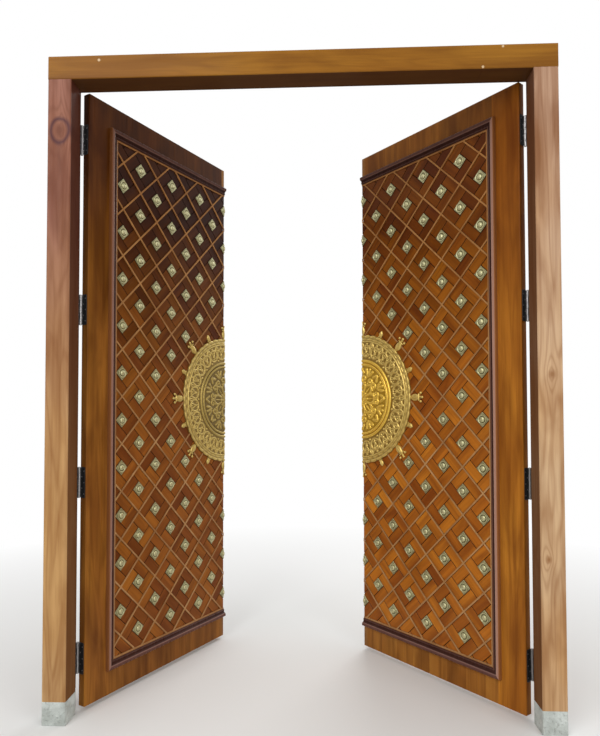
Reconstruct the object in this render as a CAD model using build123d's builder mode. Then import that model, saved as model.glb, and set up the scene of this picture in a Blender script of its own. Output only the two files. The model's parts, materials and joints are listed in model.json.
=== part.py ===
from build123d import *
from math import ceil, cos, hypot, pi, radians, sin, sqrt
import os

# Double-leaf entrance door with its timber frame. Sizes are in millimetres.
# X runs to the right, Y into the building and Z up. The origin lies on the floor,
# in the middle of the doorway, in the plane of the frame's front face.

# Frame
frame_width = 2400.0
frame_height = 3155.0
frame_depth = 150.0
jamb_face = 112.0
head_face = 112.0
rebate_width = 15.0
frame_arris = 3.0
foot_height = 108.0
tenon_width = 60.0
tenon_thickness = 40.0
tenon_height = 70.0
dowel_side = 14.0
dowel_embedment = 60.0

# Leaves
leaf_thickness = 40.0
floor_gap = 20.0
head_gap = 10.0
meeting_gap = 3.0
stop_gap = 1.0
stile_width = 150.0
top_rail_height = 140.0
bottom_rail_height = 144.0
lipping_width = 25.0
stile_arris = 5.0
rail_tenon_length = 60.0
rail_tenon_margin = 30.0
board_thickness = 10.0
core_thickness = 22.0
tongue_length = 12.0
tongue_thickness = 12.0
open_angle_left = 62.0
open_angle_right = 50.0

# Moulding round the field, and the raised lattice inside it
moulding_width = 48.0
moulding_height = 22.0
moulding_lap = 20.0
crest_chamfer = 5.0
crest_end = 20.0
hollow_end = 34.0
hollow_depth = 13.0
hollow_sag = 3.0
step_width = 8.0
moulding_lip = 5.0
border_width = 5.0
strip_width = 8.0
strip_height = 5.0
lattice_pitch = 248.5
lattice_centre_height = 1536.0

# Square bosses with a raised centre
boss_side = 56.0
boss_height = 4.0
boss_slope = 3.0
dome_radius = 23.0
dome_height = 8.0
dome_sides = 8

# Half medallion on each leaf
medallion_radius = 398.0
medallion_thickness = 8.0
scallop_count = 48
scallop_depth = 5.0
circle_sides = 48
rim_setback = 4.0
rim_width = 32.0
rim_height = 4.0
ring_radius = 248.0
ring_width = 43.0
ring_height = 8.0
disc_height = 3.0
loop_count = 24
loop_corners = 6
loop_gap = 3.0
loop_width = 70.0
loop_band = 15.0
loop_height = 5.0
finial_count = 8
finial_reach = 488.0
finial_neck_width = 18.0
finial_body_width = 42.0
finial_body_start = 410.0
finial_body_end = 440.0
finial_collar = 455.0
finial_crown = 470.0
finial_crown_width = 62.0
finial_height = 10.0
knob_reach = 440.0
knob_width = 32.0
knob_head = 16.0
petal_count = 8
petal_start_radius = 48.0
petal_ring_gap = 28.0
petal_width = 64.0
petal_height = 5.0

# Hinges
hinge_count = 4
hinge_end_distance = 230.0
hinge_height = 152.0
knuckle_count = 5
knuckle_gap = 0.4
barrel_radius = 7.0
barrel_sides = 8
barrel_clearance = 0.8
pin_radius = 3.2
pin_sides = 6
pin_end = 1.5
plate_thickness = 3.0
plate_width = 32.0
plate_gap = 4.0

# Fits and clearances
joint_fit = 0.2
tenon_end_fit = 2.0
strip_fit = 0.2
carving_fit = 0.4
pin_fit = 0.05
edge_setback = 1.5

# Places that follow from the sizes above
opening_half = frame_width / 2 - jamb_face
rebate_half = opening_half + rebate_width
stop_depth = frame_depth - leaf_thickness - stop_gap
head_underside = frame_height - head_face
axis_to_edge = plate_thickness + plate_gap / 2
axis_to_back = sqrt((barrel_radius + barrel_clearance) ** 2 - axis_to_edge**2)
axis_to_face = axis_to_back + leaf_thickness
axis_x = rebate_half - axis_to_edge
axis_y = frame_depth + axis_to_back
leaf_width = axis_x - axis_to_edge - meeting_gap / 2
leaf_height = head_underside + rebate_width - head_gap - floor_gap
lipping_start = leaf_width - lipping_width
field_bottom = bottom_rail_height
field_top = leaf_height - top_rail_height
moulding_side = stile_width - moulding_lap
moulding_bottom = field_bottom - moulding_lap
moulding_top = field_top + moulding_lap
proud_edge = leaf_width - edge_setback
centre_line = leaf_width + meeting_gap / 2
lattice_centre = lattice_centre_height - floor_gap
tongue_front = board_thickness + (core_thickness - tongue_thickness) / 2
tongue_back = tongue_front + tongue_thickness
knuckle_pitch = hinge_height / knuckle_count
finial_root = medallion_radius - scallop_depth
rim_radius = finial_root - rim_setback
disc_radius = ring_radius - ring_width
carving_base = medallion_thickness
groove_depths = (tongue_front - joint_fit, tongue_back + joint_fit)
groove_length = tongue_length + tenon_end_fit
rails = {"bottom_rail": (0, field_bottom), "top_rail": (field_top, leaf_height)}

# Sides: the left leaf lies at negative x, and its own direction away from the hinges is +x
left, right = 1, -1
side_names = {left: "left", right: "right"}
open_angles = {left: radians(open_angle_left), right: radians(open_angle_right)}


def save(builder, label):
    """Label a finished piece and write its STEP file."""
    builder.part.label = label
    export_step(builder.part, f"parts/{label}.step")


def middle(pair):
    return (pair[0] + pair[1]) / 2


def span(pair):
    return pair[1] - pair[0]


def grown(pair, amount):
    return pair[0] - amount, pair[1] + amount


def polar(radius, angle):
    return radius * cos(angle), radius * sin(angle)


def leaf_directions(side):
    """Unit vectors along an open leaf, away from its hinges, and out of its outer face."""
    angle = open_angles[side]
    return Vector(side * cos(angle), sin(angle), 0), Vector(side * sin(angle), -cos(angle), 0)


def leaf_point(side, along=0.0, up=0.0, depth=0.0):
    """A point on a leaf: from the hinge-side arris, above the bottom edge, behind the face."""
    along_leaf, outward = leaf_directions(side)
    axis = Vector(-side * axis_x, axis_y, floor_gap)
    arris = axis + along_leaf * axis_to_edge + outward * axis_to_face
    return arris + along_leaf * along + Vector(0, 0, up) - outward * depth


def leaf_plane(side, along=0.0, up=0.0, depth=0.0):
    """Sketch plane parallel to a leaf's outer face, seen from outside, with y up."""
    along_leaf, outward = leaf_directions(side)
    origin = leaf_point(side, along, up, depth)
    return Plane(origin=origin, x_dir=along_leaf * side, z_dir=outward)


def centre_plane(side, proud=0.0):
    """Sketch plane on a leaf's field, centred on the pattern of the whole closed door."""
    return leaf_plane(side, centre_line, lattice_centre, -proud)


def hinge_plane(side, height, turned):
    """Level plane at a hinge axis, turned with the leaf or square to the frame."""
    along_leaf = leaf_directions(side)[0] if turned else Vector(side, 0, 0)
    origin = (-side * axis_x, axis_y, height)
    return Plane(origin=origin, x_dir=along_leaf * side, z_dir=(0, 0, 1))


def frame_block(x, y, z, mode=Mode.ADD):
    """Add or cut a block of the frame, between pairs of coordinates."""
    with Locations((middle(x), middle(y), middle(z))):
        Box(span(x), span(y), span(z), mode=mode)


def leaf_block(side, along, up, depth, mode=Mode.ADD):
    """Add or cut a block of a leaf, between pairs of distances."""
    with Locations(leaf_plane(side, middle(along), middle(up), middle(depth))):
        Box(span(along), span(up), span(depth), mode=mode)


# Timber frame on cement feet

def front_arrises(builder, direction):
    """The long edges of the front face."""
    return builder.faces().sort_by(Axis.Y)[0].edges().filter_by(direction)


def jamb_centre(side):
    return -side * (frame_width - jamb_face) / 2, frame_depth / 2


def tenon_section(side, fit=0.0):
    """Pairs of x and y between which a jamb's tenon stands."""
    x, y = jamb_centre(side)
    half_width, half_thickness = tenon_width / 2 + fit, tenon_thickness / 2 + fit
    return (x - half_width, x + half_width), (y - half_thickness, y + half_thickness)


def dowel_section(side, fit=0.0):
    """Pairs of x and y between which the dowel of a foot stands."""
    x, y = jamb_centre(side)
    half = dowel_side / 2 + fit
    return (x - half, x + half), (y - half, y + half)


def jamb_outline(side):
    """A jamb's outline in plan, with the rebate that the leaf shuts into."""
    Polygon(
        (-side * frame_width / 2, 0),
        (-side * opening_half, 0),
        (-side * opening_half, stop_depth),
        (-side * rebate_half, stop_depth),
        (-side * rebate_half, frame_depth),
        (-side * frame_width / 2, frame_depth),
    )


def make_head():
    with BuildPart() as head:
        frame_block(
            (-frame_width / 2, frame_width / 2), (0, frame_depth), (head_underside, frame_height)
        )
        chamfer(front_arrises(head, Axis.X), frame_arris)
        frame_block(
            (-rebate_half, rebate_half),
            (stop_depth, frame_depth),
            (head_underside, head_underside + rebate_width),
            mode=Mode.SUBTRACT,
        )
        for side in (left, right):
            x, y = tenon_section(side, joint_fit)
            mortise_top = head_underside + tenon_height + tenon_end_fit
            frame_block(x, y, (head_underside, mortise_top), mode=Mode.SUBTRACT)
    save(head, "head_beam")


def make_jamb(side):
    with BuildPart() as jamb:
        with BuildSketch(Plane.XY.offset(foot_height)):
            jamb_outline(side)
        extrude(amount=head_underside - foot_height)
        chamfer(front_arrises(jamb, Axis.Z), frame_arris)
        x, y = tenon_section(side)
        frame_block(x, y, (head_underside, head_underside + tenon_height))
        x, y = dowel_section(side, joint_fit)
        hole_top = foot_height + dowel_embedment + tenon_end_fit
        frame_block(x, y, (foot_height, hole_top), mode=Mode.SUBTRACT)
    save(jamb, f"jamb_{side_names[side]}")


def make_foot(side):
    with BuildPart() as foot:
        with BuildSketch(Plane.XY):
            jamb_outline(side)
        extrude(amount=foot_height)
        chamfer(front_arrises(foot, Axis.Z), frame_arris)
        x, y = dowel_section(side)
        frame_block(x, y, (foot_height - dowel_embedment, foot_height), mode=Mode.SUBTRACT)
    save(foot, f"jamb_foot_{side_names[side]}")


def make_dowels():
    """Square steel dowels, cast into the feet and standing up into the jambs."""
    with BuildPart() as dowels:
        for side in (left, right):
            x, y = dowel_section(side)
            frame_block(x, y, (foot_height - dowel_embedment, foot_height + dowel_embedment))
    save(dowels, "foot_dowels")


# Hinges: the barrels and pins have flats, so that their many copies stay light

def hinge_bases():
    """Heights of the undersides of one leaf's hinges."""
    lowest = floor_gap + hinge_end_distance - hinge_height / 2
    step = (leaf_height - 2 * hinge_end_distance) / (hinge_count - 1)
    return [lowest + step * number for number in range(hinge_count)]


def make_hinge_plates(side, turned, knuckles, label):
    """The plates on one face of the gap, each with its share of the knuckles."""
    towards = side if turned else -side
    plate_x = towards * (axis_to_edge - plate_thickness / 2)
    plate_start = barrel_radius + barrel_clearance
    bore_radius = pin_radius + pin_fit
    with BuildPart() as plates:
        for base in hinge_bases():
            with BuildSketch(hinge_plane(side, base, turned)):
                with Locations((plate_x, -plate_start - plate_width / 2)):
                    Rectangle(plate_thickness, plate_width)
            extrude(amount=hinge_height)
            for number in knuckles:
                bottom = base + number * knuckle_pitch + knuckle_gap / 2
                with BuildSketch(hinge_plane(side, bottom, turned)):
                    with Locations((plate_x, -plate_start / 2)):
                        Rectangle(plate_thickness, plate_start)
                    RegularPolygon(barrel_radius, barrel_sides)
                    RegularPolygon(bore_radius, pin_sides, major_radius=False, mode=Mode.SUBTRACT)
                extrude(amount=knuckle_pitch - knuckle_gap)
    save(plates, label)


def make_hinge_pins(side):
    with BuildPart() as pins:
        for base in hinge_bases():
            with BuildSketch(hinge_plane(side, base - pin_end, turned=False)):
                RegularPolygon(pin_radius, pin_sides)
            extrude(amount=hinge_height + 2 * pin_end)
    save(pins, f"hinge_pins_{side_names[side]}")


# Framing of a leaf: stile, rails and lipping, grooved round a tongued core


def make_hinge_stile(side):
    with BuildPart() as stile:
        leaf_block(side, (0, stile_width), (0, leaf_height), (0, leaf_thickness))
        arris_middle = leaf_point(side, up=leaf_height / 2)
        arris = stile.edges().filter_by(Axis.Z).sort_by_distance(arris_middle)[0]
        fillet(arris, stile_arris)
        groove = (stile_width - groove_length, stile_width)
        leaf_block(side, groove, (0, leaf_height), groove_depths, mode=Mode.SUBTRACT)
        mortise = (stile_width - rail_tenon_length - tenon_end_fit, stile_width)
        for rail in rails.values():
            mortise_span = grown(rail, joint_fit - rail_tenon_margin)
            leaf_block(side, mortise, mortise_span, groove_depths, mode=Mode.SUBTRACT)
    save(stile, f"{side_names[side]}_hinge_stile")


def make_rail(side, name):
    rail = rails[name]
    tongue_depths = (tongue_front, tongue_back)
    tongue_ends = (stile_width - tongue_length, lipping_start + tongue_length)
    with BuildPart() as board:
        leaf_block(side, (stile_width, lipping_start), rail, (0, leaf_thickness))
        leaf_block(side, tongue_ends, rail, tongue_depths)
        if name == "bottom_rail":
            groove = (field_bottom - groove_length, field_bottom)
        else:
            groove = (field_top, field_top + groove_length)
        leaf_block(side, tongue_ends, groove, groove_depths, mode=Mode.SUBTRACT)
        tenon = (stile_width - rail_tenon_length, stile_width)
        leaf_block(side, tenon, grown(rail, -rail_tenon_margin), tongue_depths)
    save(board, f"{side_names[side]}_{name}")


def make_lipping(side):
    """The narrow edge piece that shuts against the other leaf."""
    with BuildPart() as lipping:
        leaf_block(side, (lipping_start, leaf_width), (0, leaf_height), (0, leaf_thickness))
        groove = (lipping_start, lipping_start + groove_length)
        leaf_block(side, groove, (0, leaf_height), groove_depths, mode=Mode.SUBTRACT)
        recess = (0, board_thickness)
        field = (field_bottom, field_top)
        leaf_block(side, (lipping_start, leaf_width), field, recess, mode=Mode.SUBTRACT)
    save(lipping, f"{side_names[side]}_meeting_lipping")


def make_core(side):
    back = board_thickness + core_thickness
    along, up = (stile_width, lipping_start), (field_bottom, field_top)
    with BuildPart() as core:
        leaf_block(side, along, up, (board_thickness, back))
        tongue_up = grown(up, tongue_length)
        leaf_block(side, grown(along, tongue_length), tongue_up, (tongue_front, tongue_back))
    save(core, f"{side_names[side]}_core_panel")


def make_field(side):
    """The boarded field in front of the core, out to the meeting edge."""
    with BuildPart() as boards:
        leaf_block(side, (stile_width, leaf_width), (field_bottom, field_top), (0, board_thickness))
    save(boards, f"{side_names[side]}_field_boards")


# Moulding: three mitred lengths

def moulding_profile():
    """Section of the moulding; x runs across it towards the field, y out of the leaf.

    A steep outer side and a flat crest, then a hollow and a step down to the lip.
    """
    step_height = moulding_height - hollow_depth
    chord_middle = middle((crest_end, hollow_end)), middle((moulding_height, step_height))
    hollow_middle = (chord_middle[0] - hollow_sag, chord_middle[1] - hollow_sag)
    with BuildSketch() as section:
        with BuildLine():
            Polyline(
                (0, 0),
                (0, moulding_height - crest_chamfer),
                (crest_chamfer, moulding_height),
                (crest_end, moulding_height),
            )
            ThreePointArc((crest_end, moulding_height), hollow_middle, (hollow_end, step_height))
            Polyline(
                (hollow_end, step_height),
                (hollow_end + step_width, step_height),
                (moulding_width, moulding_lip),
                (moulding_width, 0),
                (0, 0),
            )
        make_face()
    return section.sketch


def make_moulding(side, name, start, end, across):
    """One length between two corners of the moulding's outer line, as (along, up) points.

    across is the direction towards the field, as an (along, up) pair. The mitre planes hold
    the bisector of the two lengths that meet at a corner.
    """
    along_leaf, outward = leaf_directions(side)
    inward = along_leaf * across[0] + Vector(0, 0, across[1])
    start_point, end_point = leaf_point(side, *start), leaf_point(side, *end)
    centre = (start_point + end_point) / 2
    corners = [(moulding_side, moulding_bottom), (moulding_side, moulding_top)]
    with BuildPart() as moulding:
        with BuildSketch(Plane(origin=centre, x_dir=inward, z_dir=inward.cross(outward))):
            add(moulding_profile())
        extrude(amount=(end_point - start_point).length / 2, both=True)
        for corner in corners:
            if corner in (start, end):
                corner_point = leaf_point(side, *corner)
                run = (centre - corner_point).normalized()
                split(bisect_by=Plane(origin=corner_point, z_dir=run - inward), keep=Keep.TOP)
    save(moulding, f"{side_names[side]}_{name}")


def make_mouldings(side):
    lower, upper = (moulding_side, moulding_bottom), (moulding_side, moulding_top)
    make_moulding(side, "side_moulding", lower, upper, (1, 0))
    make_moulding(side, "bottom_moulding", lower, (proud_edge, moulding_bottom), (0, 1))
    make_moulding(side, "top_moulding", upper, (proud_edge, moulding_top), (0, -1))


# Field pattern, drawn in sketches on centre_plane

def field_window(margin):
    """The visible field inside the moulding, less a margin, in pattern coordinates."""
    start = moulding_side + moulding_width + margin
    bottom = moulding_bottom + moulding_width + margin
    top = moulding_top - moulding_width - margin
    along = (start - centre_line, proud_edge - centre_line)
    return along, (bottom - lattice_centre, top - lattice_centre)


def field_rectangle(side, margin, mode):
    along, up = field_window(margin)
    with Locations((side * middle(along), middle(up))):
        Rectangle(span(along), span(up), mode=mode)


def strips(slant, width, mode=Mode.ADD):
    """Parallel strips over the whole field, at a slant in degrees."""
    along, up = field_window(0)
    reach = 2 * hypot(span(along), span(up))
    spacing = lattice_pitch / sqrt(2)
    count = ceil(reach / spacing / 2)
    offsets = [(number + 0.5) * spacing for number in range(-count, count)]
    with Locations(*[polar(offset, radians(slant + 90)) for offset in offsets]):
        Rectangle(reach, width, rotation=slant, mode=mode)


def scallops(growth, mode=Mode.ADD):
    """Outline of the medallion's plate: shallow points between hollows, all round."""
    tip = medallion_radius + growth
    step = pi / scallop_count
    outline = [polar(tip - number % 2 * scallop_depth, number * step) for number in range(2 * scallop_count)]
    Polygon(*outline, align=None, mode=mode)


def mirrored_outline(half_outline):
    """Close an outline that runs from the root to the tip on the x axis with its mirror image."""
    return half_outline + [(x, -y) for x, y in reversed(half_outline[:-1])]


def finials(growth, mode=Mode.ADD):
    """Rounded bodies on a neck, each with a crown of three points."""
    neck, body = finial_neck_width / 2 + growth, finial_body_width / 2 + growth
    outline = [
        (finial_root, neck),
        (finial_body_start, body),
        (finial_body_end, body),
        (finial_collar, neck),
        (finial_crown, finial_crown_width / 2 + growth),
        (finial_crown, neck),
        (finial_reach + growth, 0),
    ]
    with PolarLocations(0, finial_count):
        Polygon(*mirrored_outline(outline), mode=mode)


def knobs(growth, mode=Mode.ADD):
    """Small buds on the rim, halfway between the finials."""
    half = knob_width / 2 + growth
    outline = [
        (finial_root, half / 2),
        (knob_reach - knob_head, half),
        (knob_reach + growth, 0),
    ]
    with PolarLocations(0, finial_count, start_angle=180 / finial_count):
        Polygon(*mirrored_outline(outline), mode=mode)


def half_medallion(side):
    """Keep only this leaf's half of a sketch."""
    along = (-2 * finial_reach, proud_edge - centre_line)
    with Locations((side * middle(along), 0)):
        Rectangle(span(along), 4 * finial_reach, mode=Mode.INTERSECT)


def loops(inset, mode=Mode.ADD):
    """Rounded loops side by side between the ring and the rim, less an inset all round."""
    start = ring_radius + loop_gap + inset
    end = rim_radius - rim_width - loop_gap - inset
    half = loop_width / 2 - inset
    centre, half_length = middle((start, end)), span((start, end)) / 2
    turns = [2 * pi * number / loop_corners for number in range(loop_corners)]
    outline = [(centre + half_length * cos(turn), half * sin(turn)) for turn in turns]
    with PolarLocations(0, loop_count, start_angle=180 / loop_count):
        Polygon(*outline, mode=mode)


def petals():
    """Pointed petals in a wreath on the disc."""
    start, end = petal_start_radius, disc_radius - petal_ring_gap
    half = petal_width / 2
    with PolarLocations(0, petal_count):
        Polygon((start, 0), (middle((start, end)), -half), (end, 0), (middle((start, end)), half))


def make_medallion(side):
    with BuildPart() as medallion:
        with BuildSketch(centre_plane(side)):
            scallops(0)
            half_medallion(side)
        extrude(amount=medallion_thickness)
        with BuildSketch(centre_plane(side)):
            finials(0)
            knobs(0)
            half_medallion(side)
        extrude(amount=finial_height)
        with BuildSketch(centre_plane(side, carving_base)):
            RegularPolygon(rim_radius, circle_sides)
            RegularPolygon(rim_radius - rim_width, circle_sides, mode=Mode.SUBTRACT)
            half_medallion(side)
        extrude(amount=rim_height)
        with BuildSketch(centre_plane(side, carving_base)):
            loops(0)
            loops(loop_band, Mode.SUBTRACT)
            half_medallion(side)
        extrude(amount=loop_height)
        with BuildSketch(centre_plane(side, carving_base)):
            RegularPolygon(ring_radius, circle_sides)
            RegularPolygon(disc_radius, circle_sides, mode=Mode.SUBTRACT)
            half_medallion(side)
        extrude(amount=ring_height)
        with BuildSketch(centre_plane(side, carving_base)):
            RegularPolygon(disc_radius, circle_sides)
            half_medallion(side)
        extrude(amount=disc_height)
        with BuildSketch(centre_plane(side, carving_base + disc_height)):
            petals()
            half_medallion(side)
        extrude(amount=petal_height)
    save(medallion, f"{side_names[side]}_medallion")


def make_lattice(side):
    """Strips in both directions, one run through and the other let in between, in a border."""
    with BuildPart() as lattice:
        with BuildSketch(centre_plane(side)):
            strips(-45 * side, strip_width)
            strips(45 * side, strip_width + 2 * strip_fit, mode=Mode.SUBTRACT)
            strips(45 * side, strip_width)
            field_rectangle(side, border_width + strip_fit, Mode.INTERSECT)
            scallops(carving_fit, Mode.SUBTRACT)
            finials(carving_fit, Mode.SUBTRACT)
            knobs(carving_fit, Mode.SUBTRACT)
        extrude(amount=strip_height)
        with BuildSketch(centre_plane(side)):
            field_rectangle(side, 0, Mode.ADD)
            field_rectangle(side, border_width, Mode.SUBTRACT)
        extrude(amount=strip_height)
    save(lattice, f"{side_names[side]}_lattice")


def boss_places():
    """Centres of the bosses, from the centre line towards the hinges, clear of the medallion."""
    half_diagonal = boss_side / sqrt(2)
    along, up = field_window(border_width)
    half_pitch = lattice_pitch / 2
    columns = int((-along[0] - half_diagonal) / half_pitch)
    rows = ceil(max(up) / half_pitch)
    places = []
    for column in range(columns + 1):
        for row in range(-rows, rows + 1):
            x, y = column * half_pitch, row * half_pitch
            inside = up[0] + half_diagonal < y < up[1] - half_diagonal
            clear = hypot(x, y) - boss_side / 2 > finial_reach
            if (column + row) % 2 == 0 and inside and clear:
                places.append((x, y))
    return places


def make_bosses(side):
    with BuildPart() as boss:
        with BuildSketch(Plane.XY):
            Rectangle(boss_side, boss_side, rotation=45)
        with BuildSketch(Plane.XY.offset(boss_height)):
            top_side = boss_side - 2 * boss_slope
            Rectangle(top_side, top_side, rotation=45)
        loft()
        with BuildSketch(Plane.XY.offset(boss_height)) as dome_foot:
            RegularPolygon(dome_radius, dome_sides, rotation=180 / dome_sides)
        loft(sections=[dome_foot.sketch.face(), Vertex(0, 0, boss_height + dome_height)])
    cut = proud_edge - centre_line
    with BuildPart() as half_boss:
        add(boss.part)
        split(bisect_by=Plane(origin=(side * cut, 0, 0), z_dir=(-side, 0, 0)), keep=Keep.TOP)
    places = boss_places()
    with BuildPart(centre_plane(side)) as bosses:
        with Locations(*[(-side * x, y) for x, y in places if x > 0]):
            add(boss.part)
        with Locations(*[(0, y) for x, y in places if x == 0]):
            add(half_boss.part)
    save(bosses, f"{side_names[side]}_bosses")


def make_leaf(side):
    make_hinge_stile(side)
    for name in rails:
        make_rail(side, name)
    make_lipping(side)
    make_core(side)
    make_field(side)
    make_mouldings(side)
    make_lattice(side)
    make_bosses(side)
    make_medallion(side)


def main():
    os.makedirs("parts", exist_ok=True)
    make_head()
    make_dowels()
    frame_knuckles = range(0, knuckle_count, 2)
    leaf_knuckles = range(1, knuckle_count, 2)
    for side, name in side_names.items():
        make_jamb(side)
        make_foot(side)
        make_hinge_plates(side, False, frame_knuckles, f"jamb_hinge_plates_{name}")
        make_hinge_pins(side)
        make_hinge_plates(side, True, leaf_knuckles, f"{name}_leaf_hinge_plates")
        make_leaf(side)


main()
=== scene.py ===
# Looks of a carved double-leaf entrance door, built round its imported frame. Sizes are in metres.
import json
from math import ceil, cos, pi, radians, sin, sqrt

import bmesh
import bpy
import numpy as np
from mathutils import Matrix, Vector


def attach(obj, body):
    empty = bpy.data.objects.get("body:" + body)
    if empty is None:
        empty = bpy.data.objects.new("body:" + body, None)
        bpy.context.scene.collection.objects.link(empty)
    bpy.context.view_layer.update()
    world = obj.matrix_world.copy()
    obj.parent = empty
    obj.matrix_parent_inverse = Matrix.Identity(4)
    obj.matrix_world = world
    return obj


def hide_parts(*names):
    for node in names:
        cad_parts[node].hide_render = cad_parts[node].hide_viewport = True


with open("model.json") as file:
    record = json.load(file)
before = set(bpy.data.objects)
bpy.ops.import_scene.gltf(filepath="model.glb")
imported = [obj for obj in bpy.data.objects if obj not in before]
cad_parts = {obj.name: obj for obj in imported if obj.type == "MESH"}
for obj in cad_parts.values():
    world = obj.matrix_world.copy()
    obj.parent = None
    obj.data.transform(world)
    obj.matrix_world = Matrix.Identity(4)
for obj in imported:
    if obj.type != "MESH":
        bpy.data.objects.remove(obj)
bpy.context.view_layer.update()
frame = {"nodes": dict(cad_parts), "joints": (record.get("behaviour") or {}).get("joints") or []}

# Leaves
signs = {"left": 1, "right": -1}
open_angles = {"left": radians(62), "right": radians(50)}
hinge_axes = {joint["child"]: Vector(joint["pos_m"]) for joint in frame["joints"]}
axis_to_edge = 0.005
axis_to_face = 0.045987
leaf_height = 3.028
floor_gap = 0.020
centre_line = 1.093
pattern_height = 1.536
leaf_edge = 0.0015
proud_edge = 0.003
field_side = 0.943
field_end = 1.372
window_side = 0.915
window_end = 1.344
board_thickness = 0.010

# Moulding round the field: its outer line, in pattern coordinates
moulding_side = 0.963
moulding_end = 1.392
moulding_width = 0.048

# Diagonal pattern of the field
lattice_pitch = 0.2485
boss_square = 0.058
boss_side = 0.056
boss_clear_radius = 0.516
board_clear_radius = 0.280
board_chamfer = 0.0021
board_gap = 0.0008
strip_cover = 0.0035
filler_drop = 0.0004
grid_rows = 2 * ceil(field_end * 2 / lattice_pitch) + 1

# Medallion
rim_radius = 0.398
scallop_depth = 0.005
scallop_count = 48
rim_start = 0.357
rim_bead_width = 0.0042
plate_top = 0.008
ring_outer = 0.248
ring_inner = 0.205
disc_ground = 0.0108
loop_count = 24
palmette_count = 8
finial_count = 8
finial_root = 0.388

# Hinges
hinge_count = 4
hinge_end_distance = 0.230
hinge_height = 0.152
knuckle_count = 5
knuckle_gap = 0.0005
knuckle_pitch = hinge_height / knuckle_count
barrel_radius = 0.007
pin_radius = 0.0032
pin_end = 0.0015
plate_thickness = 0.003
plate_start = 0.0078
plate_width = 0.032
screw_step = 0.056

# Rows of screws in a plate: how many, how far in from the plate's edge, and how high the lowest one is
screw_rows = ((3, 0.024, 0.020), (2, 0.010, 0.048))


# Node trees

def feed(tree, node, inputs):
    """Link or set a node's inputs, by name or number."""
    for key, value in dict(inputs).items():
        if isinstance(value, bpy.types.NodeSocket):
            tree.links.new(value, node.inputs[key])
        else:
            node.inputs[key].default_value = value
    return node


def put(tree, kind, inputs=(), **settings):
    """Add a node, set its options, and link or set its inputs."""
    node = tree.nodes.new(kind)
    for name, value in settings.items():
        setattr(node, name, value)
    return feed(tree, node, inputs)


def calc(tree, operation, *values):
    """One step of arithmetic."""
    return put(tree, "ShaderNodeMath", enumerate(values), operation=operation).outputs[0]


def place_calc(tree, operation, *values):
    """One step of arithmetic on places."""
    node = put(tree, "ShaderNodeVectorMath", enumerate(values), operation=operation)
    return node.outputs["Value" if operation == "LENGTH" else 0]


def axis_of(tree, place, number):
    """One coordinate of a place: 0 for X, 1 for Y, 2 for Z."""
    return put(tree, "ShaderNodeSeparateXYZ", {0: place}).outputs[number]


def rescale(tree, value, start, end, low=0.0, high=1.0):
    """Map a value from one range to another, and stop at its ends."""
    inputs = {"Value": value, "From Min": start, "From Max": end, "To Min": low, "To Max": high}
    return put(tree, "ShaderNodeMapRange", inputs).outputs[0]


def noise(tree, vector, scale, detail=2.0, distortion=0.0):
    inputs = {"Vector": vector, "Scale": scale, "Detail": detail, "Distortion": distortion}
    return put(tree, "ShaderNodeTexNoise", inputs).outputs[0]


def blended(tree, share, first, second, mode="MIX"):
    """Mix two colours."""
    colours = {0: share, 6: first, 7: second}
    return put(tree, "ShaderNodeMix", colours, data_type="RGBA", blend_type=mode).outputs[2]


def object_place(tree):
    return put(tree, "ShaderNodeTexCoord").outputs["Object"]


def new_material(name):
    material = bpy.data.materials.new(name)
    material.use_nodes = True
    return material, material.node_tree, material.node_tree.nodes["Principled BSDF"]


def finish_surface(tree, shader, colour, roughness, relief, settings=()):
    """Join colour, roughness and relief to the shader. relief is its height, depth and strength."""
    bump = put(tree, "ShaderNodeBump", zip(("Height", "Distance", "Strength"), relief)).outputs[0]
    feed(tree, shader, {"Base Color": colour, "Roughness": roughness, "Normal": bump} | dict(settings))


def rgb(red, green, blue):
    return (red, green, blue, 1.0)


# Wood

varnish = {"Specular IOR Level": 0.06, "Coat Weight": 0.03, "Coat Roughness": 0.15}

# Boards are cut from one pattern of grain at random places, up to this far apart
grain_shift = 40.0


def grain_place(tree, turn, along):
    """Object coordinates turned so that the grain runs along Z and X runs across the board."""
    rotation = (0, radians(90), 0) if along == "X" else (0, 0, turn)
    inputs = {"Vector": object_place(tree), "Rotation": rotation}
    return put(tree, "ShaderNodeMapping", inputs).outputs[0]


def stored(tree, name):
    """A value that is stored on the mesh."""
    return put(tree, "ShaderNodeAttribute", attribute_name=name).outputs["Fac"]


def board_place(tree):
    """Each board's own coordinates, moved by its own share so that no two boards match."""
    own = put(tree, "ShaderNodeAttribute", attribute_name="grain").outputs["Vector"]
    share = stored(tree, "shade")
    return place_calc(tree, "ADD", own, calc(tree, "MULTIPLY", share, grain_shift)), share


def stave_place(tree, place, width):
    """Coordinates that jump along the grain between glued boards, and each board's share."""
    number = calc(tree, "FLOOR", calc(tree, "DIVIDE", axis_of(tree, place, 0), width))
    share = put(tree, "ShaderNodeTexWhiteNoise", {"W": number}, noise_dimensions="1D").outputs[0]
    shift = put(tree, "ShaderNodeCombineXYZ", {2: calc(tree, "MULTIPLY", share, grain_shift)})
    return place_calc(tree, "ADD", place, shift.outputs[0]), share


def spot_distance(tree, place, centre, radius, squeeze):
    """Distance from a spot on the wood, 1 at its radius. It is drawn out along the grain."""
    offset = place_calc(tree, "SUBTRACT", place, centre)
    scaled = place_calc(tree, "MULTIPLY", offset, (1 / radius, 0, squeeze / radius))
    return place_calc(tree, "LENGTH", scaled)


def squashed_noise(tree, place, squash, scale, detail=2.0, distortion=0.0):
    """Noise drawn out along the grain."""
    mapping = put(tree, "ShaderNodeMapping", {"Vector": place, "Scale": (1, 1, squash)})
    return noise(tree, mapping.outputs[0], scale, detail, distortion)


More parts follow.
